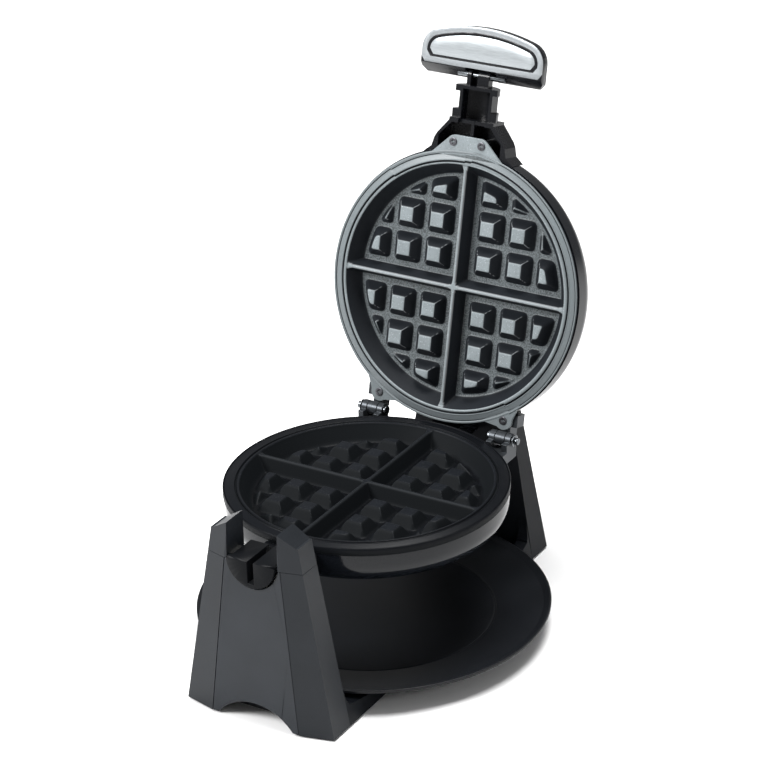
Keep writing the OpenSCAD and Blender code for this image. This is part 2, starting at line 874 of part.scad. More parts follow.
// A tower's outside shrunk by t, from z0 to z1; inner0 is the inner face's place at the table.
module tower_form(t, z0, z1, inner0, inner_lean) {
    intersection() {
        slab_y([[-tower_half_w + side_lean * z0 + t, z0], [tower_half_w - side_lean * z0 - t, z0],
            [tower_half_w - side_lean * z1 - t, z1], [-tower_half_w + side_lean * z1 + t, z1]],
            -stand_half_l - 10, 0);
        slab_x([[-stand_half_l + panel_lean * z0 + t, z0], [-inner0 - inner_lean * z0 - t, z0],
            [-inner0 - inner_lean * z1 - t, z1], [-stand_half_l + panel_lean * z1 + t, z1]], -100, 100);
        facet(t);
        mirror([1, 0, 0]) facet(t);
    }
}

// The trapezoid that the panel covers, grown sideways by g.
module panel_field(g, z0, z1) {
    slab_y([[-panel_half_w + crease_lean * z0 - g, z0], [panel_half_w - crease_lean * z0 + g, z0],
        [panel_half_w - crease_lean * z1 + g, z1], [-panel_half_w + crease_lean * z1 - g, z1]],
        -stand_half_l - 10, 0);
}

// The slice of the tower's outside that the panel takes away.
module panel_slice(t, g, z0, z1) {
    intersection() {
        slab_x([[-stand_half_l - 5, z0], [-stand_half_l + panel_lean * z0 + t, z0],
            [-stand_half_l + panel_lean * z1 + t, z1], [-stand_half_l - 5, z1]], -100, 100);
        panel_field(g, z0, z1);
    }
}

module arch() {
    r = (arch_half_w * arch_half_w + arch_h * arch_h) / (2 * arch_h);
    rod_y(r, -stand_half_l - 10, -stand_half_l + 9, 0, arch_h - r);
}

module notch(through) {
    rod_y(notch_r, -stand_half_l - 10, through, 0, flip_z);
    box(-notch_r, notch_r, -stand_half_l - 10, through, flip_z, 200);
}

tongue_half_w = 38;
tongue_in = 12;
floor_z0 = 3;
floor_z1 = 6;
tower_screw_x = 26;
foot_x = 49.5;
foot_d = 146.5;
foot_r = 6;
foot_stud_r = 2;
pad_t = 3;
saddle_t = 2.4;

// What both towers share: the moulded tube, screw bosses and foot pads.
module tower_body(inner0, inner_lean) {
    difference() {
        tower_form(0, foot_gap, seam_z, inner0, inner_lean);
        tower_form(wall, foot_gap - 1, seam_z + 1, inner0, inner_lean);
    }
    intersection() {
        tower_form(wall / 2, foot_gap, seam_z, inner0, inner_lean);
        union() {
            both_sides() {
                box(tower_screw_x - 3.5, tower_screw_x + 3.5, -inner0 - 9, -inner0, floor_z1, 30);
                box(foot_x - 8, 80, -foot_d - 20, -foot_d + 8, foot_gap, foot_gap + pad_t);
                box(24, 60, -cap_screw_d - 5, -cap_screw_d + 6, seam_z - 11, seam_z - 8);
            }
        }
    }
}

module tower_cuts(inner0) {
    arch();
    box(-tongue_half_w - 0.5, tongue_half_w + 0.5, -inner0 - tongue_in - 0.5, -inner0 + 1, -1, floor_z1);
    both_sides() {
        translate([tower_screw_x, -inner0 - 5, -1]) cylinder(r = screw_r, h = 20);
        translate([foot_x, -foot_d, -1]) cylinder(r = foot_stud_r, h = 20);
        translate([cap_screw_x, -cap_screw_d, seam_z - 20]) cylinder(r = screw_r, h = 20);
    }
}

module front_tower() {
    color("#3f4246") at_tower() difference() {
        tower_body(front_inner, 0);
        tower_cuts(front_inner);
        panel_slice(panel_t, panel_gap, foot_gap - 1, seam_z + 1);
        notch(0);
    }
}

module panel(open_notch) {
    difference() {
        intersection() {
            tower_form(0, foot_gap, seam_z, 50, 0);
            panel_slice(panel_t, 0, foot_gap, seam_z);
        }
        arch();
        if (open_notch) notch(0);
    }
}

module front_panel() {
    color("#484b50") at_tower() panel(true);
}

cap_seam = 0.3;
cap_screw_x = 28;
cap_screw_d = 143;
cap_drop = 8;
cap_back = 2.8;
cap_boss_r = 3;

saddle_room = 0.1;

// The space under a cap's roof, lowered by t; the roof falls by drop from the notch to the sides.
module under_roof(drop, t) {
    roof_x = tower_half_w - side_lean * cap_z;
    high = cap_z - t;
    low = high - drop;
    slab_y([[-100, 0], [-100, low], [-roof_x, low], [-notch_r, high], [notch_r, high], [roof_x, low],
        [100, low], [100, 0]], -stand_half_l - 20, 0);
}

// The cap's shell from the seam up.
module cap_body(inner0, inner_lean, drop) {
    z0 = seam_z + cap_seam;
    difference() {
        intersection() {
            tower_form(0, z0, cap_z, inner0, inner_lean);
            under_roof(drop, 0);
        }
        intersection() {
            tower_form(wall, z0 - 1, cap_z, inner0, inner_lean);
            under_roof(drop, wall);
        }
    }
    intersection() {
        tower_form(wall / 2, z0, cap_z, inner0, inner_lean);
        under_roof(drop, wall / 2);
        both_sides() translate([cap_screw_x, -cap_screw_d, seam_z - 8]) cylinder(r = cap_boss_r, h = 60);
    }
    both_sides() translate([cap_screw_x, -cap_screw_d, seam_z - 8]) cylinder(r = cap_boss_r, h = 10);
}

module cap_screw_holes() {
    both_sides() translate([cap_screw_x, -cap_screw_d, seam_z - 20]) cylinder(r = screw_r, h = 24);
}

module front_cap() {
    color("#484b50") at_tower() difference() {
        union() {
            cap_body(front_inner, 0, cap_drop);
            intersection() {
                tower_form(0, seam_z + cap_seam, cap_z, front_inner, 0);
                under_roof(cap_drop, 0);
                both_sides() box(notch_r, notch_r + saddle_t, -stand_half_l, 0, seam_z + cap_seam, cap_z);
            }
            intersection() {
                tower_form(wall + saddle_room, 60, cap_z - cap_drop, front_inner, 0);
                rod_y(notch_r + saddle_t, -stand_half_l, 0, 0, flip_z);
            }
        }
        notch(0);
        cap_screw_holes();
    }
}

module rear_tower() {
    color("#17181b") at_tower(true) difference() {
        union() {
            tower_body(rear_inner, rear_lean);
            intersection() {
                tower_form(wall / 2, foot_gap, seam_z, rear_inner, rear_lean);
                rod_y(notch_r + saddle_t, -stand_half_l + 8, -rear_inner, 0, flip_z);
            }
        }
        tower_cuts(rear_inner);
        panel_slice(panel_t, panel_gap, foot_gap - 1, seam_z + 1);
        rod_y(notch_r, -rear_bush_end, 0, 0, flip_z);
        rod_y(gland_r, -stand_half_l - 10, -stand_half_l + 20, 0, gland_z);
    }
}

module rear_panel() {
    color("#17181b") at_tower(true) difference() {
        panel(false);
        rod_y(gland_r, -stand_half_l - 10, -stand_half_l + 20, 0, gland_z);
    }
}

module rear_cap() {
    color("#17181b") at_tower(true) difference() {
        union() {
            cap_body(rear_inner + cap_back, rear_lean, 0);
            intersection() {
                tower_form(wall / 2, seam_z + cap_seam, cap_z - wall / 2, rear_inner + cap_back, rear_lean);
                rod_y(notch_r + saddle_t, -stand_half_l + 8, -rear_inner, 0, flip_z);
            }
        }
        rod_y(notch_r, -rear_bush_end, 0, 0, flip_z);
        cap_screw_holes();
    }
}

// The half-round shoe that the front journal turns in, a hair smaller than its seat.
seat_gap = 0.05;
module front_bearing_shoe() {
    color("#c9c7be") at_stand() intersection() {
        difference() {
            rod_y(notch_r - seat_gap, -shoe_y1, -shoe_y0, 0, flip_z);
            rod_y(journal_r + run_fit, -shoe_y1 - 1, -shoe_y0 + 1, 0, flip_z);
        }
        half_below(seam_z);
    }
}

rear_bush_end = rear_tube_y1 + 2 - stand_y;
module rear_bearing_bush() {
    color("#c9c7be") at_stand() difference() {
        rod_y(notch_r - seat_gap, rear_tube_y0 + 2, rear_tube_y1 - 0.5, 0, flip_z);
        rod_y(journal_r + run_fit, rear_tube_y0, rear_tube_y1 + 1, 0, flip_z);
    }
}

gland_z = 32;
gland_r = 5;
gland_bore_r = 3.4;
module cord_gland() {
    out = stand_half_l - panel_lean * gland_z;
    color("#101113") at_tower(true) difference() {
        union() {
            rod_y(gland_r, -out - 2, -out + 9, 0, gland_z);
            rod_y(gland_r + 2.5, -out - 4, -out - 0.4, 0, gland_z);
            rod_y(gland_r + 1.5, -out + 6.5, -out + 9, 0, gland_z);
        }
        rod_y(gland_bore_r, -out - 10, -out + 20, 0, gland_z);
    }
}

module tower_screws(inner0) {
    color("#8d9093") both_sides() translate([tower_screw_x, -inner0 - 5, floor_z0])
        rotate([180, 0, 0]) screw_up(12);
}

// A screw whose head hangs at z = 0 and whose shank points up.
module screw_up(length) {
    cylinder(r = screw_head_r, h = screw_head_h);
    translate([0, 0, -length]) cylinder(r = screw_r, h = length + eps);
}

module front_tower_screws() {
    at_tower() tower_screws(front_inner);
}

module rear_tower_screws() {
    at_tower(true) tower_screws(rear_inner);
}

module cap_screws() {
    color("#8d9093") both_sides() translate([cap_screw_x, -cap_screw_d, seam_z - 11])
        rotate([180, 0, 0]) screw_up(12);
}

module front_cap_screws() {
    at_tower() cap_screws();
}

module rear_cap_screws() {
    at_tower(true) cap_screws();
}

rail_top = 8.1;
rail_t = 3.5;
fillet_z = 33;
fillet_h = 15;
tray_y = 5;
tray_room = 0.6;
tray_depth = 8.4;
tray_rim_h = 2.2;
support_gap = 0.2;
rail_room = 0.4;
support_z = tray_z - tray_depth - tray_t - support_gap;
front_fillet = front_inner - (tray_r + stand_y - tray_y + tray_room);
rear_fillet = rear_inner - (tray_r - stand_y + tray_y + tray_room);

// The hollow corner between a tower and the rail: it rises just under the tray, whose centre is
// tray_off away along Y, then curves up the tower as a slim wall of this run.
tray_under = tray_z - tray_depth - tray_t;
tray_brim = tray_z - tray_rim_h - tray_t;
module fillet(inner, run, tray_off) {
    slab_x(concat([[-inner, floor_z0], [-tray_floor_r + tray_off, floor_z0],
            [-tray_floor_r + tray_off, tray_under - rail_room],
            [-tray_r + 5 + tray_off, tray_brim - rail_room], [-inner + run, tray_brim + 1.5]],
        [for (a = [-90:-10:-180]) [-inner + run + run * cos(a), fillet_z + fillet_h * sin(a)]]),
        tower_half_w - 12, tower_half_w + 1);
}

module side_planes() {
    slab_y([[-tower_half_w, 0], [tower_half_w, 0], [tower_half_w - side_lean * 100, 100],
        [-tower_half_w + side_lean * 100, 100]], -200, 200);
}

module tongue(inner) {
    difference() {
        box(-tongue_half_w, tongue_half_w, -inner - tongue_in, -inner + 1, floor_z0, floor_z1);
        both_sides() translate([tower_screw_x, -inner - 5, 0]) cylinder(r = screw_r, h = 20);
    }
}

// The floor between the towers with a rail along each side and a tongue into each tower.
module base_frame() {
    color("#17181b") at_stand() translate([0, stand_y, 0]) {
        intersection() {
            union() {
                box(-tower_half_w, tower_half_w, -front_inner, rear_inner, floor_z0, floor_z1);
                both_sides() {
                    box(tower_half_w - rail_t - 1.5, tower_half_w + 1, -front_inner, rear_inner,
                        foot_gap, rail_top);
                    box(24, 28, -90, 90, floor_z0, support_z);
                    fillet(front_inner, front_fillet, tray_y - stand_y);
                    mirror([0, 1, 0]) fillet(rear_inner, rear_fillet, stand_y - tray_y);
                }
            }
            side_planes();
        }
        tongue(front_inner);
        mirror([0, 1, 0]) tongue(rear_inner);
    }
}

// A rubber foot with a stud that presses into the tower's pad.
module foot() {
    color("#0d0e0f") translate([foot_x, -foot_d, 0]) {
        cylinder(r = foot_r, h = foot_gap);
        cylinder(r = foot_stud_r, h = foot_gap + pad_t + 1);
    }
}

module foot_front_right() {
    at_tower() foot();
}

module foot_front_left() {
    at_tower() mirror([1, 0, 0]) foot();
}

module foot_rear_right() {
    at_tower(true) foot();
}

module foot_rear_left() {
    at_tower(true) mirror([1, 0, 0]) foot();
}

module drip_tray() {
    under = tray_under;
    slope_r = tray_r - 5;
    color("#17181a") at_stand() translate([0, tray_y, 0]) rotate_extrude($fn = 180) polygon([
        [0, under], [tray_floor_r, under], [slope_r, tray_brim],
        [tray_r, tray_z - tray_rim_h], [tray_r, tray_z], [tray_r - 1.6, tray_z],
        [slope_r - 0.6, tray_z - tray_rim_h], [tray_floor_r - 0.6, under + tray_t], [0, under + tray_t]
    ]);
}

base_frame();
front_tower();
front_panel();
front_cap();
front_bearing_shoe();
rear_tower();
rear_panel();
rear_cap();
rear_bearing_bush();
cord_gland();
foot_front_left();
foot_front_right();
foot_rear_left();
foot_rear_right();
front_cap_screws();
rear_cap_screws();
front_tower_screws();
rear_tower_screws();
drip_tray();
lower_shell();
lower_plate();
lower_heater();
lower_heat_shield();
lower_plate_screws();
front_journal();
front_journal_screws();
rear_journal();
rear_journal_screws();
rear_journal_collar();
thermostat();
thermal_fuse();
terminal_block();
heater_leads();
hinge_bracket_left();
hinge_bracket_right();
hinge_pin_left();
hinge_pin_right();
pin_clip_left();
pin_clip_right();
upper_shell();
upper_plate();
upper_heater();
upper_heat_shield();
upper_plate_screws();
upper_shell_screws();
hinge_leaf_left();
hinge_leaf_right();
lamp_board();
power_lens();
ready_lens();
neck_bracket();
fold_pin();
handle_grip();
handle_bezel();
handle_inset();
handle_back_plate();
handle_screws();
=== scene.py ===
import json
import math

import bmesh
import bpy
import numpy as np
from mathutils import Matrix, Vector

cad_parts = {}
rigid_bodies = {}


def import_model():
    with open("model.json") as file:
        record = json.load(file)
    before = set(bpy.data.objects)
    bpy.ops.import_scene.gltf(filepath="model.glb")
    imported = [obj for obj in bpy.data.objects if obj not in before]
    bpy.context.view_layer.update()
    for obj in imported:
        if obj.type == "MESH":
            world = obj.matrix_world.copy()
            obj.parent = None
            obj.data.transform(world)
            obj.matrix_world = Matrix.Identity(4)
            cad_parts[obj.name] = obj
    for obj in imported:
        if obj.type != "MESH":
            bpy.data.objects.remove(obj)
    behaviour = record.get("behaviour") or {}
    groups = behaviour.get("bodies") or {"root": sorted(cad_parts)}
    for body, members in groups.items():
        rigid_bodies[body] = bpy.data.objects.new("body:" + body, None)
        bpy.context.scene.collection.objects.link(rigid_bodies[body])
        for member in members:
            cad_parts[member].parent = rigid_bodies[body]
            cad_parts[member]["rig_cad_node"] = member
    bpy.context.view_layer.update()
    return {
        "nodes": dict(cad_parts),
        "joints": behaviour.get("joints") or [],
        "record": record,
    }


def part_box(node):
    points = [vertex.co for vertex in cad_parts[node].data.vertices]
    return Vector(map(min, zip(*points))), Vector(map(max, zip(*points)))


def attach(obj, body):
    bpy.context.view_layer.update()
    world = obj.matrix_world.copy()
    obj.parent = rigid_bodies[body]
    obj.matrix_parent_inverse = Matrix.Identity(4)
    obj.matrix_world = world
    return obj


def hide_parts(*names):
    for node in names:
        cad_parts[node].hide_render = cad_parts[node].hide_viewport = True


# A rotating waffle maker with its lid open: surfaces, finishes, floor, light and camera.
# Metres, +Z up, +X right, +Y from the handle tower to the hinge tower.

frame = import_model()
NODES = frame["nodes"]
MM = 0.001

# ---------------------------------------------------------------- sizes

# The mould: its crest circle, the edge's slope, the pegs and the crossing ridges. Feet and tops are
# half widths, and drops are measured down from the plate's face.
CREST_R = 90.5 * MM
EDGE_RUN = 8 * MM
EDGE_BLEND = 2.6 * MM
MOULD_DEPTH = 12.5 * MM
PLATE_BACK = 15.5 * MM
PEG_DROP = 4.2 * MM
PEG_PITCH = 25.4 * MM
PEG_FIRST = 20.6 * MM
PEG_FOOT = 10.9 * MM
PEG_TOP = 5.4 * MM
PEG_CORNER = 3.6 * MM
PEG_CUT_BLEND = 3 * MM
PEG_TOP_BLEND = 1.5 * MM
PEG_FOOT_BLEND = 1.2 * MM
RIDGE_FOOT = 5 * MM
RIDGE_TOP = 0.9 * MM
RIDGE_DROP = 1 * MM
RIDGE_TOP_BLEND = 1.2 * MM
RIDGE_FOOT_BLEND = 1.8 * MM
CROSS_BLEND = 3 * MM
FLARE_RUN = 7 * MM
FLARE_W = 2.4 * MM
CROSS_FLARE = 0.7
RING_COUNT = 128

# The plates' rims.
CREST_W = 1.3 * MM
GROOVE_W = 1.4 * MM
GROOVE_D = 1.6 * MM
FLANGE_DROP = 0.5 * MM
PLATE_GAP = 1 * MM
LID_FLANGE_R = 100 * MM
LID_FLANGE_T = 3 * MM
LID_LIP = 2.2 * MM
LOWER_LIP = 1.2 * MM

# Stretches of the lid plate's rim, in degrees, and how far its ring lines step out there.
LID_PARTING = ((3, 146, 0.8 * MM), (322, 363, -0.7 * MM))

# The lid plate's tab under the handle and its two ears over the hinges.
TAB_CORNERS = [(29, -95), (29, -95.1), (13, -110.5), (-13, -110.5), (-29, -95.1), (-29, -95)]
TAB_CORNER_R = 3
EAR_X = 52 * MM
EAR_Y = 89 * MM
EAR_R = 7 * MM
EAR_ARC = 1.25
EAR_ROOT = math.radians(10)
EAR_ROOT_R = 98.5 * MM
SLAB_EDGE = 0.35 * MM

SHELL_ROUND = 18.5 * MM
SHELL_WALL = 2.5 * MM
TRAY_T = 2 * MM
TRAY_LIP = 2.2 * MM
TRAY_RING_D = 0.2 * MM

low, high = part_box("lower_plate")
PLATE_X = (low.x + high.x) / 2
PLATE_Y = (low.y + high.y) / 2
RIM_R = (high.x - low.x) / 2
RIM_Z = high.z
FACE_Z = RIM_Z + PLATE_GAP
RIM_H = 5.7 * MM

lid_joint = next(j for j in frame["joints"] if j["name"] == "lid_hinge")
LID_OPEN = math.radians(lid_joint["range_deg"][1])
HINGE = Vector(lid_joint["pos_m"])

# Both plates are laid out with the face at z = 0 and the mould below it. The lid's is then mirrored
# face down over the lower one and swung open about the hinge.
LOWER = Matrix.Translation((PLATE_X, PLATE_Y, RIM_Z))
LID_SWING = Matrix.Translation(HINGE) @ Matrix.Rotation(-LID_OPEN, 4, "X") @ Matrix.Translation(-HINGE)
LID = LID_SWING @ Matrix.Translation((PLATE_X, PLATE_Y, FACE_Z)) @ Matrix.Diagonal((1, 1, -1, 1))


# ---------------------------------------------------------------- meshes

def add_piece(name, points, faces, body, smooth=True, flip=False, place=None, **values):
    """A mesh from an array of points and an array of faces, carried by `place` into the row frame.

    `values` are numbers per point, kept as named attributes that a finish can read.
    """
    points = np.asarray(points, float).reshape(-1, 3)
    if place is not None:
        matrix = np.array(place)
        points = points @ matrix[:3, :3].T + matrix[:3, 3]
        flip = flip != (np.linalg.det(matrix[:3, :3]) < 0)
    faces = [tuple(reversed(f)) if flip else tuple(f) for f in faces]
    mesh = bpy.data.meshes.new(name)
    mesh.from_pydata(points.tolist(), [], faces)
    for key, numbers in values.items():
        layer = mesh.attributes.new(key, "FLOAT", "POINT")
        layer.data.foreach_set("value", np.asarray(numbers, np.float32).ravel())
    work = bmesh.new()
    work.from_mesh(mesh)
    bmesh.ops.remove_doubles(work, verts=work.verts, dist=1e-6)
    work.to_mesh(mesh)
    work.free()
    mesh.polygons.foreach_set("use_smooth", [smooth] * len(mesh.polygons))
    piece = bpy.data.objects.new(name, mesh)
    bpy.context.scene.collection.objects.link(piece)
    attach(piece, body)
    return piece


def grid_faces(rows, columns, wrap=False):
    """Faces of a grid of rows x columns points; with wrap the last column joins the first."""
    index = np.arange(rows * columns).reshape(rows, columns)
    if wrap:
        index = np.hstack([index, index[:, :1]])
    quads = [index[:-1, :-1], index[:-1, 1:], index[1:, 1:], index[1:, :-1]]
    return np.stack(quads, axis=-1).reshape(-1, 4).tolist()


def turned(name, profile, body, centre=(0, 0, 0), count=256, place=None, flip=False):
    """A surface of revolution: each (radius, height) of the profile goes once round the z axis."""
    profile = np.asarray(profile, float)
    angle = np.arange(count) * 2 * math.pi / count
    points = np.stack([
        profile[:, :1] * np.cos(angle) + centre[0],
        profile[:, :1] * np.sin(angle) + centre[1],
        np.repeat(profile[:, 1:], count, axis=1) + centre[2],
    ], axis=-1)
    faces = grid_faces(len(profile), count, wrap=True)
    return add_piece(name, points, faces, body, place=place, flip=flip)


def rounded(corners, radius, steps=6):
    """A polyline whose inner corners are arcs of about `radius`: points on the quadratic curve that
    leaves the corner's first side and joins its second at that distance."""
    corners = np.asarray(corners, float)
    path = [corners[:1]]
    share = np.linspace(0, 1, steps + 1)[:, None]
    for before, corner, after in zip(corners[:-2], corners[1:-1], corners[2:]):
        near, far = before - corner, after - corner
        reach = min(radius, 0.45 * np.linalg.norm(near), 0.45 * np.linalg.norm(far))
        start = corner + near / np.linalg.norm(near) * reach
        end = corner + far / np.linalg.norm(far) * reach
        path.append((1 - share) ** 2 * start + 2 * share * (1 - share) * corner + share ** 2 * end)
    path.append(corners[-1:])
    return np.vstack(path)


def soft_max(a, b, blend):
    """The larger of a and b, eased over `blend` where they are close: max + h squared x blend / 4,
    with h falling from 1 to 0 as |a - b| goes from 0 to blend."""
    h = np.clip(1 - np.abs(a - b) / blend, 0, 1)
    return np.maximum(a, b) + h * h * blend / 4


def soft_min(a, b, blend):
    """The smaller of a and b, eased in the same way."""
    return -soft_max(-a, -b, blend)


# ---------------------------------------------------------------- grid plates

def rounded_square(x, y, half, corner):
    """Signed distance from a square of half width `half` with rounded corners, negative inside."""
    qx = np.abs(x) - (half - corner)
    qy = np.abs(y) - (half - corner)
    outside = np.hypot(np.maximum(qx, 0), np.maximum(qy, 0))
    return outside + np.minimum(np.maximum(qx, qy), 0) - corner


def mould_height(x, y):
    """Height of the mould below the plate's face at (x, y).

    The floor, the edge's slope, the two crossing ridges and the pegs are each a height; the highest
    wins, eased where two meet. The ridges flare where they meet the crest and each other. A peg
    rises with its distance inside its rounded foot and stops at its flat top; pegs near the edge
    are cut off by a slope that follows the edge.
    """
    r = np.hypot(x, y)
    px, py = np.abs(x), np.abs(y)
    floor = np.full_like(r, -MOULD_DEPTH)
    edge = -MOULD_DEPTH * (CREST_R - r) / EDGE_RUN
    peg_slope = (MOULD_DEPTH - PEG_DROP) / (PEG_FOOT - PEG_TOP)
    pegs = floor - 1 * MM
    for i in range(3):
        for j in range(3):
            if i + j < 4:
                inside = -rounded_square(px - PEG_FIRST - i * PEG_PITCH, py - PEG_FIRST - j * PEG_PITCH,
                                         PEG_FOOT, PEG_CORNER)
                inside = soft_min(inside, CREST_R - EDGE_RUN - EDGE_BLEND - r, PEG_CUT_BLEND)
                pegs = np.maximum(pegs, -MOULD_DEPTH + inside * peg_slope)
    pegs = soft_min(pegs, np.full_like(r, -PEG_DROP), PEG_TOP_BLEND)
    rise = (MOULD_DEPTH - RIDGE_DROP) / (RIDGE_FOOT - RIDGE_TOP)
    flare = np.clip(1 - (CREST_R - r) / FLARE_RUN, 0, 1) ** 2
    flare = flare + CROSS_FLARE * np.clip(1 - r / FLARE_RUN, 0, 1) ** 2
    ridge = -MOULD_DEPTH + (RIDGE_FOOT + flare * FLARE_W - np.minimum(px, py)) * rise
    ridge = soft_max(ridge, -MOULD_DEPTH + (RIDGE_FOOT - np.maximum(px, py)) * rise, CROSS_BLEND)
    ridge = soft_min(ridge, np.full_like(r, -RIDGE_DROP), RIDGE_TOP_BLEND)
    height = soft_max(soft_max(floor, pegs, PEG_FOOT_BLEND), ridge, RIDGE_FOOT_BLEND)
    height = soft_max(height, edge, EDGE_BLEND)
    return np.minimum(height, 0)


def parting_shift(angle, parting):
    """How far the flange's ring lines step out at this angle: each (from, to, shift) of `parting` is a
    stretch in degrees clockwise from the handle's side."""
    turn = np.degrees(np.pi / 2 + angle) % 360
    return sum((shift * ((turn >= first) & (turn < last)) for first, last, shift in parting), 0 * turn)


def grid_plate(name, body, place, flange_r, flange_t, lip, parting=()):
    """A waffle plate: circles of points round the middle, laid out as a square grid.

    Grid point (i, j) lies on circle max(|i|, |j|) at an angle that grows evenly along the square's
    side. Inner circles take the mould's height; the outer ones run over the crest, the groove, the
    flange, its edge and back underneath to the mould's outside. `parting` steps the flange's lines.

    Four numbers per point are kept for the finish: wall is how steep the mould is, brow how sharply
    it bends downwards, deep how far down it lies, and flange is 1 beyond the crest. The finish paints
    shade where wall and deep are high and a painted highlight along the brows.
    """
    inner = np.linspace(0, CREST_R - 0.8 * MM, RING_COUNT)
    groove = CREST_R + CREST_W
    rim = rounded([
        (CREST_R - 0.3 * MM, -0.15 * MM), (CREST_R + 0.2 * MM, 0.0), (groove, 0.0),
        (groove + 0.1 * MM, -GROOVE_D), (groove + GROOVE_W, -GROOVE_D), (groove + GROOVE_W + 0.1 * MM, 0.0),
        (groove + GROOVE_W + 0.7 * MM, 0.0), (groove + GROOVE_W + 0.8 * MM, -FLANGE_DROP),
        (flange_r - lip, -FLANGE_DROP), (flange_r - lip, -1.3 * MM),
        (flange_r - lip + 0.5 * MM, -1.3 * MM),
        (flange_r - lip + 0.5 * MM, -0.3 * MM), (flange_r, -0.3 * MM), (flange_r, -flange_t),
        (CREST_R + 3 * MM, -flange_t), (CREST_R - 6 * MM, -PLATE_BACK),
    ], 0.25 * MM, steps=1)
    rings = np.concatenate([inner, rim[:, 0]])
    count = len(rings) - 1
    j, i = np.meshgrid(np.arange(-count, count + 1), np.arange(-count, count + 1))
    ring = np.maximum(np.abs(i), np.abs(j))
    wide = np.abs(i) >= np.abs(j)
    ratio = np.where(wide, j / np.where(i == 0, 1, i), i / np.where(j == 0, 1, j))
    angle = np.where(wide, math.pi / 4 * ratio + np.where(i < 0, math.pi, 0),
                     math.pi / 2 - math.pi / 4 * ratio + np.where(j < 0, math.pi, 0))
    stepped = (ring >= len(inner) + 2) * (ring < count - 5)
    radius = rings[ring] + stepped * parting_shift(angle, parting)
    x, y = radius * np.cos(angle), radius * np.sin(angle)
    rim_height = np.concatenate([np.zeros(len(inner)), rim[:, 1]])[ring]
    z = np.where(ring < len(inner), mould_height(x, y), rim_height)
    step = 0.4 * MM
    steep = np.hypot(mould_height(x + step, y) - mould_height(x - step, y),
                     mould_height(x, y + step) - mould_height(x, y - step)) / (2 * step)
    steep = np.where(ring < len(inner), np.clip(steep / 1.2, 0, 1), rim_height < -0.8 * MM)
    bend = (mould_height(x + step, y) + mould_height(x - step, y) + mould_height(x, y + step)
            + mould_height(x, y - step) - 4 * mould_height(x, y)) / step
    brow = np.where(ring < len(inner), np.clip(-bend / 1.1, 0, 1), 0)
    outer = np.clip((radius - CREST_R) / (1 * MM), 0, 1) * (ring >= len(inner))
    deep = np.where(ring < len(inner), np.clip((-z - PEG_DROP) / (MOULD_DEPTH - PEG_DROP), 0, 1), 0)
    faces = grid_faces(2 * count + 1, 2 * count + 1)
    border = np.arange((2 * count + 1) ** 2).reshape(2 * count + 1, -1)
    loop = np.concatenate([border[0, :-1], border[:-1, -1], border[-1, :0:-1], border[:0:-1, 0]])
    faces = [face[::-1] for face in faces] + [loop.tolist()]
    return add_piece(name, np.stack([x, y, z], axis=-1), faces, body, place=place, flip=True,
                     wall=steep, flange=outer, deep=deep, brow=brow)


# ---------------------------------------------------------------- finishes

class Value:
    """A number or colour that varies over a surface; sums and products on it add Math nodes."""

    def __init__(self, finish, socket):
        self.finish = finish
        self.socket = socket

    def __add__(self, other):
        return self.finish.maths("ADD", self, other)

    def __sub__(self, other):
        return self.finish.maths("SUBTRACT", self, other)

    def __rsub__(self, other):
        return self.finish.maths("SUBTRACT", other, self)

    def __mul__(self, other):
        return self.finish.maths("MULTIPLY", self, other)

    __radd__ = __add__
    __rmul__ = __mul__


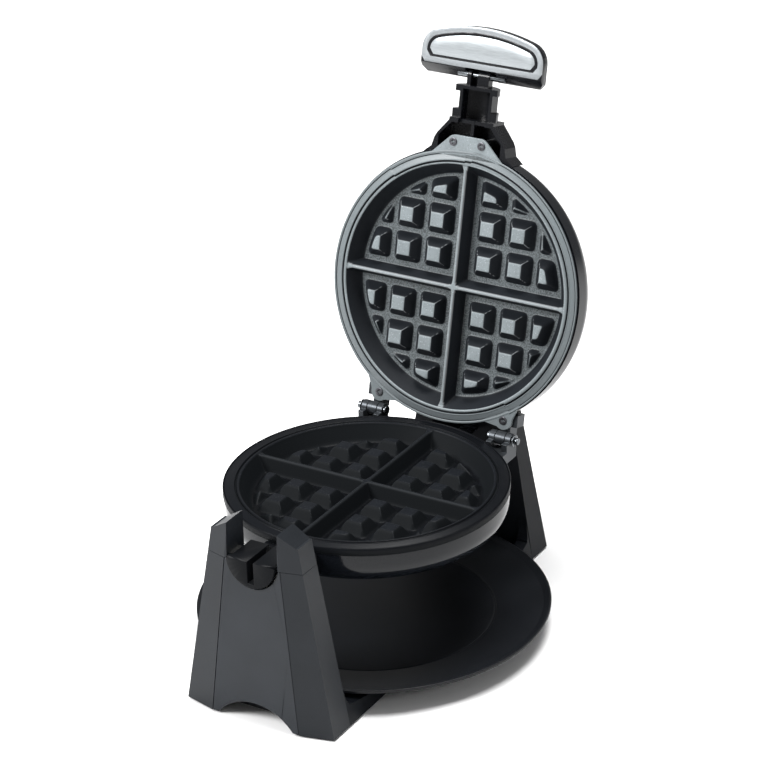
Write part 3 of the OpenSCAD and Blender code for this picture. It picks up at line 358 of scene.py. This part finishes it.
class Finish:
    """A material being made: its shader, its nodes, and the object's own coordinates."""

    def __init__(self, name, **shader):
        self.material = bpy.data.materials.new(name)
        self.material.use_nodes = True
        self.tree = self.material.node_tree
        self.shader = self.tree.nodes["Principled BSDF"]
        for key, value in shader.items():
            self.shader.inputs[key.replace("_", " ").title().replace("Ior", "IOR")].default_value = value
        self.place = self.node("ShaderNodeTexCoord", out="Object")

    def node(self, kind, out=0, settings=None, **inputs):
        """Adds a node: its settings first, then the values or links of its sockets, which are named
        or, after an underscore, numbered."""
        made = self.tree.nodes.new(kind)
        for key, value in (settings or {}).items():
            setattr(made, key, value)
        for key, value in inputs.items():
            socket = made.inputs[int(key[1:])] if key[1:].isdigit() else made.inputs[key.replace("_", " ")]
            if isinstance(value, Value):
                self.tree.links.new(value.socket, socket)
            else:
                socket.default_value = value
        return Value(self, made.outputs[out])

    def maths(self, operation, a, b):
        return self.node("ShaderNodeMath", settings={"operation": operation}, _0=a, _1=b)

    def noise(self, size, detail=2.0, rough=0.5, stretch=None):
        """Cloudy noise from 0 to 1 whose lumps are about `size` metres across."""
        place = self.place
        if stretch:
            place = self.node("ShaderNodeMapping", Vector=place, Scale=stretch)
        return self.node("ShaderNodeTexNoise", out="Fac", Vector=place, Scale=1 / size, Detail=detail,
                         Roughness=rough)

    def specks(self, size):
        """Distance from the nearest of many scattered points, 0 at each point."""
        return self.node("ShaderNodeTexVoronoi", out="Distance", Vector=self.place, Scale=1 / size)

    def attribute(self, name):
        """A number that the mesh holds per point."""
        return self.node("ShaderNodeAttribute", out="Fac", settings={"attribute_name": name})

    def between(self, value, low, high):
        """The value's place between low and high, held to 0..1 and eased."""
        return self.node("ShaderNodeMapRange", settings={"interpolation_type": "SMOOTHSTEP"},
                         Value=value, _1=low, _2=high)

    def blend(self, share, a, b):
        """Colour a where share is 0 and colour b where it is 1."""
        colours = [c if isinstance(c, Value) else (*c, 1) for c in (a, b)]
        return self.node("ShaderNodeMix", out=2, settings={"data_type": "RGBA"}, _0=share, _6=colours[0],
                         _7=colours[1])

    def give(self, **inputs):
        """Joins values to the shader's own sockets."""
        for key, value in inputs.items():
            self.tree.links.new(value.socket, self.shader.inputs[key.replace("_", " ").title()])
        return self

    def emboss(self, height, depth):
        """Bump whose full height is `depth` metres."""
        bump = self.node("ShaderNodeBump", Height=height, Distance=depth, Strength=1.0)
        self.tree.links.new(bump.socket, self.shader.inputs["Normal"])
        return self


def shade(colour, factor):
    """The colour made darker or lighter."""
    return tuple(c * factor for c in colour)


def moulded(name, colour, roughness=0.42, grain=0.7 * MM, depth=0.02 * MM, gloss=0.3):
    """Moulded plastic with a fine grain and slight clouding in its colour and gloss."""
    f = Finish(name, specular_ior_level=gloss)
    cloud = f.noise(38 * MM, 3)
    fine = f.noise(grain, 2, 0.6)
    f.give(base_color=f.blend(f.between(cloud * 0.7 + fine * 0.3, 0.25, 0.75), shade(colour, 0.84),
                              shade(colour, 1.18)),
           roughness=cloud * 0.10 + fine * 0.08 + (roughness - 0.09))
    return f.emboss(fine, depth).material


def polished(name, colour, roughness=0.13):
    """Polished moulding: nearly a mirror, with faint waves and a little dust in the gloss."""
    f = Finish(name, specular_ior_level=0.22, coat_roughness=0.06)
    cloud = f.noise(55 * MM, 2)
    dust = f.between(f.noise(1.1 * MM, 3, 0.7), 0.56, 0.72)
    f.give(base_color=f.blend(cloud * 0.6 + dust * 0.4, shade(colour, 0.8), shade(colour, 1.5)),
           roughness=cloud * 0.06 + dust * 0.06 + (roughness - 0.03),
           coat_weight=0.07 - dust * 0.06)
    return f.emboss(cloud * 0.8 + f.noise(1.6 * MM, 1) * 0.2, 0.03 * MM).material


def non_stick(name, floor, wall, fleck_and_highlight, fleck_share, roughness, gloss=0.25, brow_highlight_share=0.38):
    """Sprayed non-stick coating: fine grit and scattered pale flecks, and darker on the flange. Painted
    shade darkens it low down in the mould and on its steep walls, and a painted highlight lightens the
    brows of the pegs and ridges."""
    f = Finish(name, specular_ior_level=gloss)
    steep = f.attribute("wall")
    outside = f.attribute("flange")
    deep = f.attribute("deep")
    brow = f.attribute("brow")
    cloud = f.noise(22 * MM, 3)
    grit = f.noise(0.9 * MM, 3, 0.7)
    flecks = 1 - f.between(f.specks(1.7 * MM), 0.05, 0.30)
    base = f.blend(f.between(cloud, 0.3, 0.7), shade(floor, 0.9), shade(floor, 1.1))
    gritty = f.blend(f.between(grit, 0.3, 0.5), shade(floor, 0.72), base)
    base = f.blend(f.between(grit, 0.35, 0.68), gritty, base)
    base = f.blend(flecks * fleck_share, base, fleck_and_highlight)
    # Painted shade: the mould grows darker towards its floor, with the grit's speckle kept in it.
    low_painted_shade = f.blend(f.between(grit, 0.35, 0.65), shade(floor, 0.2), shade(floor, 0.75))
    base = f.blend(f.between(deep, 0.3, 0.9), base, low_painted_shade)
    flange_coat = f.blend(grit, shade(floor, 0.5), shade(floor, 0.8))
    base = f.blend(outside * 0.9, base, flange_coat)
    # Painted shade: the steep walls of the pegs and ridges, the groove and the lower steps of the rim take
    # the dark wall colour.
    base = f.blend(f.between(steep, 0.35, 0.7), base, wall)
    # Painted highlight: the flecks' colour is laid along the brows of the pegs and ridges.
    base = f.blend(f.between(brow, 0.3, 1.1) * brow_highlight_share, base, fleck_and_highlight)
    f.give(base_color=base, roughness=cloud * 0.08 + grit * 0.12 + steep * 0.30 + (roughness - 0.1))
    return f.emboss(grit, 0.05 * MM).material


def painted_silver(name, colour, brushed=None, roughness=0.34):
    """Silver paint with fine metal flake, or brushed lines where `brushed` stretches them."""
    f = Finish(name, metallic=0.35, specular_ior_level=0.3)
    flake = f.noise(0.6 * MM, 2, 0.7, stretch=brushed)
    cloud = f.noise(30 * MM, 2)
    f.give(base_color=f.blend(f.between(flake, 0.3, 0.7), shade(colour, 0.88), shade(colour, 1.08)),
           roughness=flake * 0.16 + cloud * 0.08 + (roughness - 0.12))
    return f.emboss(flake, 0.012 * MM).material


def metal(name, colour, roughness=0.35, stretch=None, metallic=1.0):
    """Drawn or pressed metal: streaks along its length and uneven tarnish."""
    f = Finish(name, metallic=metallic)
    streak = f.noise(0.8 * MM, 3, 0.6, stretch=stretch)
    tarnish = f.noise(9 * MM, 3)
    f.give(base_color=f.blend(f.between(tarnish * 0.6 + streak * 0.4, 0.3, 0.7), shade(colour, 0.8),
                              shade(colour, 1.12)),
           roughness=streak * 0.16 + tarnish * 0.14 + (roughness - 0.15))
    return f.emboss(streak, 0.015 * MM).material


def rubbery(name, colour):
    """Dull rubber with a dry, dusty skin."""
    f = Finish(name, specular_ior_level=0.3)
    skin = f.noise(1.2 * MM, 3, 0.7)
    dust = f.noise(12 * MM, 2)
    f.give(base_color=f.blend(dust * 0.5 + skin * 0.5, shade(colour, 0.8), shade(colour, 1.7)),
           roughness=skin * 0.15 + dust * 0.1 + 0.62)
    return f.emboss(skin, 0.05 * MM).material


def lens(name, colour):
    """Clear tinted plastic with a faintly rippled surface."""
    f = Finish(name, specular_ior_level=0.6, transmission_weight=0.25)
    ripple = f.noise(1.3 * MM, 2)
    f.give(base_color=f.blend(ripple, shade(colour, 0.7), shade(colour, 1.3)),
           roughness=ripple * 0.08 + 0.12)
    return f.emboss(ripple, 0.04 * MM).material


FINISHES = {
    "charcoal_plastic": moulded("charcoal_plastic", (0.0115, 0.0135, 0.0165), 0.33, gloss=0.18),
    "panel_plastic": moulded("panel_plastic", (0.0145, 0.017, 0.021), 0.31, gloss=0.22),
    "black_satin_plastic": moulded("black_satin_plastic", (0.006, 0.007, 0.009), 0.36, gloss=0.08),
    "tray_plastic": moulded("tray_plastic", (0.006, 0.007, 0.009), 0.40, depth=0.03 * MM, gloss=0.22),
    "glossy_black_plastic": polished("glossy_black_plastic", (0.005, 0.006, 0.008)),
    "black_moulding": moulded("black_moulding", (0.004, 0.0045, 0.006), 0.26, depth=0.012 * MM, gloss=0.3),
    "journal_plastic": moulded("journal_plastic", (0.0045, 0.005, 0.006), 0.34, gloss=0.06),
    "bearing_plastic": moulded("bearing_plastic", (0.55, 0.54, 0.50), 0.45),
    "cord_rubber": rubbery("cord_rubber", (0.010, 0.010, 0.011)),
    "screw_steel": metal("screw_steel", (0.42, 0.43, 0.44), 0.32),
    "dark_screw_steel": metal("dark_screw_steel", (0.10, 0.10, 0.11), 0.36),
    # The second colour of each non-stick is painted shade for the steep walls, and the third is the flecks'
    # colour, which is also laid on the brows as a painted highlight.
    "lower_nonstick": non_stick("lower_nonstick", (0.007, 0.008, 0.010), (0.004, 0.005, 0.006),
                                (0.04, 0.044, 0.048), 0.35, 0.34, gloss=0.07, brow_highlight_share=0.3),
    "upper_nonstick": non_stick("upper_nonstick", (0.20, 0.228, 0.240), (0.004, 0.006, 0.009),
                                (0.50, 0.53, 0.55), 0.5, 0.36),
    "heater_steel": metal("heater_steel", (0.36, 0.35, 0.34), 0.42),
    "shield_metal": metal("shield_metal", (0.62, 0.63, 0.64), 0.36, stretch=(0.1, 1, 1)),
    "thermostat_ceramic": moulded("thermostat_ceramic", (0.70, 0.66, 0.56), 0.55),
    "block_nylon": moulded("block_nylon", (0.72, 0.72, 0.68), 0.48),
    "lead_sleeve": rubbery("lead_sleeve", (0.42, 0.05, 0.03)),
    "hinge_steel": metal("hinge_steel", (0.045, 0.050, 0.056), 0.36, metallic=0.7),
    "pin_steel": metal("pin_steel", (0.13, 0.14, 0.15), 0.28, stretch=(0.15, 1, 1)),
    "board_laminate": moulded("board_laminate", (0.05, 0.16, 0.07), 0.5),
    "red_lens": lens("red_lens", (0.55, 0.02, 0.015)),
    "green_lens": lens("green_lens", (0.03, 0.38, 0.06)),
    "silver_trim": painted_silver("silver_trim", (0.30, 0.32, 0.335)),
    "silver_inset": painted_silver("silver_inset", (0.345, 0.37, 0.385), brushed=(0.06, 1, 1)),
}


def paint(piece, slot):
    """Gives a piece the finish of one of the record's material slots."""
    piece.data.materials.clear()
    piece.data.materials.append(FINISHES[slot])


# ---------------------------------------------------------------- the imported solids

def ease_edges(piece, width, segments=2, smooth=True):
    """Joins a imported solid's loose triangles and rounds its sharp edges by `width`. Solids whose
    sides are all flat are left unsmoothed."""
    weld = piece.modifiers.new("weld", "WELD")
    weld.merge_threshold = 0.005 * MM
    bevel = piece.modifiers.new("bevel", "BEVEL")
    bevel.width = width
    bevel.segments = segments
    bevel.limit_method = "ANGLE"
    bevel.angle_limit = math.radians(34)
    bevel.harden_normals = True
    piece.data.polygons.foreach_set("use_smooth", [smooth] * len(piece.data.polygons))


SLOT_OF = {part["node"]: part["material_slot"] for part in frame["record"]["subparts"]}
EDGE_WIDTH = {
    "front_tower": 0.9, "front_panel": 0.7, "front_cap": 0.9, "rear_tower": 0.9, "rear_panel": 0.7,
    "rear_cap": 0.9, "base_frame": 0.6, "front_journal": 0.5, "rear_journal": 0.5, "neck_bracket": 0.6,
    "handle_grip": 0.7, "handle_bezel": 0.2, "handle_inset": 0.2, "handle_back_plate": 0.6,
    "hinge_bracket_left": 0.4, "hinge_bracket_right": 0.4, "hinge_leaf_left": 0.4,
    "hinge_leaf_right": 0.4, "upper_shell": 0.4,
}
FLAT_SIDED = {"front_tower", "front_panel", "front_cap", "rear_tower", "rear_panel", "rear_cap", "base_frame",
              "neck_bracket", "hinge_bracket_left", "hinge_bracket_right", "hinge_leaf_left",
              "hinge_leaf_right"}
for node, piece in NODES.items():
    paint(piece, SLOT_OF[node])
    ease_edges(piece, EDGE_WIDTH.get(node, 0.15) * MM, smooth=node not in FLAT_SIDED)

# The lid's shell is one sweep of gloss, with no streaks from the small holes for its lamps.
even_sheen = NODES["upper_shell"].modifiers.new("even sheen", "WEIGHTED_NORMAL")
even_sheen.mode = "FACE_AREA"
even_sheen.weight = 100
even_sheen.keep_sharp = True

# ---------------------------------------------------------------- plates, shells and tray

def slab(name, outline, low_z, high_z, edge, body, place, flange=0):
    """A flat plate of this outline: the outline is shrunk towards its middle by `edge` on both faces,
    so that its rim is a chamfer, and each face is one polygon."""
    middle = outline.mean(axis=0)
    inward = middle - outline
    small = outline + inward / np.linalg.norm(inward, axis=1, keepdims=True) * edge
    layers = [(small, low_z), (outline, low_z + edge), (outline, high_z - edge), (small, high_z)]
    points = np.vstack([np.column_stack([flat, np.full(len(flat), z)]) for flat, z in layers])
    count = len(outline)
    faces = grid_faces(len(layers), count, wrap=True)
    faces += [list(range(count))[::-1], list(range(3 * count, 4 * count))]
    zero = np.zeros(len(points))
    return add_piece(name, points, faces, body, smooth=False, place=place, wall=zero,
                     flange=zero + flange, deep=zero, brow=zero)


def ear_outline(side):
    """The lobe round a rear screw: an arc of EAR_R that ends on the flange EAR_ROOT to each side."""
    along = math.atan2(EAR_Y, EAR_X)
    turn = np.linspace(along - EAR_ARC, along + EAR_ARC, 17)
    lobe = np.column_stack([EAR_X + EAR_R * np.cos(turn), EAR_Y + EAR_R * np.sin(turn)])
    ends = np.array([[along - EAR_ROOT], [along + EAR_ROOT]])
    roots = EAR_ROOT_R * np.hstack([np.cos(ends), np.sin(ends)])
    outline = np.vstack([roots[:1], lobe, roots[1:]])
    return outline if side > 0 else outline[::-1] * (-1, 1)


def shell_profile(radius, depth, round_r, wall, top):
    """Half section of a shell from the middle of its flat, round the corner, up its side, over the
    lip and back inside: radius and height below the plate's face."""
    turn = np.linspace(-math.pi / 2, 0, 25)[:, None]
    middle = np.array([radius - round_r, round_r - depth])
    outer = middle + round_r * np.hstack([np.cos(turn), np.sin(turn)])
    inner = middle + (round_r - wall) * np.hstack([np.cos(turn), np.sin(turn)])
    lip = rounded([outer[-1], (radius, top), (radius - wall, top), inner[-1]], 0.6 * MM, 4)
    return np.vstack([[(0, -depth)], outer, lip[1:-1], inner[::-1], [(0, -depth + wall)]])


def tray_section(radius, low_z, high_z):
    """Half section of the tray from the middle of its upper side, over a fine ring in its floor, up
    the slope to the lip and back underneath."""
    floor_z = low_z + TRAY_T
    slope_z = high_z - TRAY_LIP
    return rounded([
        (0, floor_z), (radius - 41.6 * MM, floor_z), (radius - 41 * MM, floor_z - TRAY_RING_D),
        (radius - 40 * MM, floor_z - TRAY_RING_D), (radius - 39.5 * MM, floor_z + TRAY_RING_D),
        (radius - 5.6 * MM, slope_z), (radius - 1.6 * MM, high_z), (radius, high_z), (radius, slope_z),
        (radius - 5 * MM, slope_z - TRAY_T), (radius - 40 * MM, low_z), (0, low_z),
    ], 0.7 * MM, 4)


upper_plate = grid_plate("lid_grid_plate", "lid", LID, LID_FLANGE_R, LID_FLANGE_T, LID_LIP, LID_PARTING)
paint(upper_plate, "upper_nonstick")
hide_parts("upper_plate")

tab_outline = rounded(TAB_CORNERS, TAB_CORNER_R) * MM
top_tab = slab("lid_plate_tab", tab_outline[::-1], -LID_FLANGE_T, -FLANGE_DROP, SLAB_EDGE, "lid", LID)
paint(top_tab, "upper_nonstick")
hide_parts("upper_plate")

for side, side_name in ((1, "right"), (-1, "left")):
    rear_ear = slab("lid_plate_ear_" + side_name, ear_outline(side), -LID_FLANGE_T, -FLANGE_DROP,
                    SLAB_EDGE, "lid", LID, flange=1)
    paint(rear_ear, "upper_nonstick")
    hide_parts("upper_plate")

lower_plate = grid_plate("lower_grid_plate", "head", LOWER, RIM_R, RIM_H, LOWER_LIP)
paint(lower_plate, "lower_nonstick")
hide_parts("lower_plate")

low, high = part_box("lower_shell")
shell_section = shell_profile((high.x - low.x) / 2, RIM_Z - low.z, SHELL_ROUND, SHELL_WALL, -RIM_H)
lower_shell = turned("lower_shell_bowl", shell_section, "head", place=LOWER)
paint(lower_shell, "glossy_black_plastic")
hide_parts("lower_shell")

low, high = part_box("drip_tray")
tray_middle = ((low.x + high.x) / 2, (low.y + high.y) / 2, 0)
tray = turned("drip_tray_dish", tray_section((high.x - low.x) / 2, low.z, high.z), "tray",
              centre=tray_middle, count=320, flip=True)
paint(tray, "tray_plastic")
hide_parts("drip_tray")

# ---------------------------------------------------------------- floor, light, camera

def floor():
    """A wide pale sheet that lies under the machine."""
    f = Finish("floor_paper", specular_ior_level=0.2)
    grain = f.noise(0.5 * MM, 2)
    f.give(base_color=f.blend(grain, (0.86, 0.86, 0.86), (0.90, 0.90, 0.90)), roughness=grain * 0.1 + 0.75)
    f.emboss(grain, 0.02 * MM)
    mesh = bpy.data.meshes.new("floor")
    half = 6.0
    corners = [(-half, -half, 0), (half, -half, 0), (half, half, 0), (-half, half, 0)]
    mesh.from_pydata(corners, [], [(0, 1, 2, 3)])
    mesh.materials.append(f.material)
    sheet = bpy.data.objects.new("floor", mesh)
    bpy.context.scene.collection.objects.link(sheet)


def softbox(name, place, aim, size, power):
    """A square area light at `place`, facing `aim`."""
    lamp = bpy.data.lights.new(name, "AREA")
    lamp.shape = "SQUARE"
    lamp.size = size
    lamp.energy = power
    holder = bpy.data.objects.new(name, lamp)
    holder.location = place
    holder.rotation_euler = (Vector(aim) - Vector(place)).to_track_quat("-Z", "Y").to_euler()
    bpy.context.scene.collection.objects.link(holder)


def studio():
    """White surroundings with three soft boxes."""
    world = bpy.data.worlds.new("studio")
    bpy.context.scene.world = world
    world.use_nodes = True
    background = world.node_tree.nodes["Background"]
    background.inputs["Color"].default_value = (1, 1, 1, 1)
    background.inputs["Strength"].default_value = 0.28
    softbox("key", (-1.6, -1.7, 1.9), (0, 0, 0.15), 1.1, 120)
    softbox("fill", (2.2, -0.6, 1.4), (0, 0, 0.15), 0.6, 7)
    softbox("top", (0.2, 0.4, 2.6), (0, 0, 0.1), 1.2, 90)


def camera():
    """A long lens from the front right, a quarter above the horizon, tipped a little to one side."""
    azimuth = math.radians(31.31)
    elevation = math.radians(25.59)
    roll = math.radians(-1.61)
    distance = 2.0051
    back = Vector((math.sin(azimuth) * math.cos(elevation), -math.cos(azimuth) * math.cos(elevation),
                   math.sin(elevation)))
    right = Vector((math.cos(azimuth), math.sin(azimuth), 0))
    up = back.cross(right)
    across = right * math.cos(roll) + up * math.sin(roll)
    upright = up * math.cos(roll) - right * math.sin(roll)
    target = Vector((0.01217, -0.00908, 0.19158))
    lens_data = bpy.data.cameras.new("camera")
    lens_data.lens = 135.37
    lens_data.sensor_width = 36
    holder = bpy.data.objects.new("camera", lens_data)
    turn = Matrix((across, upright, back)).transposed().to_4x4()
    holder.matrix_world = Matrix.Translation(target + back * distance) @ turn
    bpy.context.scene.collection.objects.link(holder)
    bpy.context.scene.camera = holder


floor()
studio()
camera()
bpy.context.scene.view_settings.view_transform = "Standard"
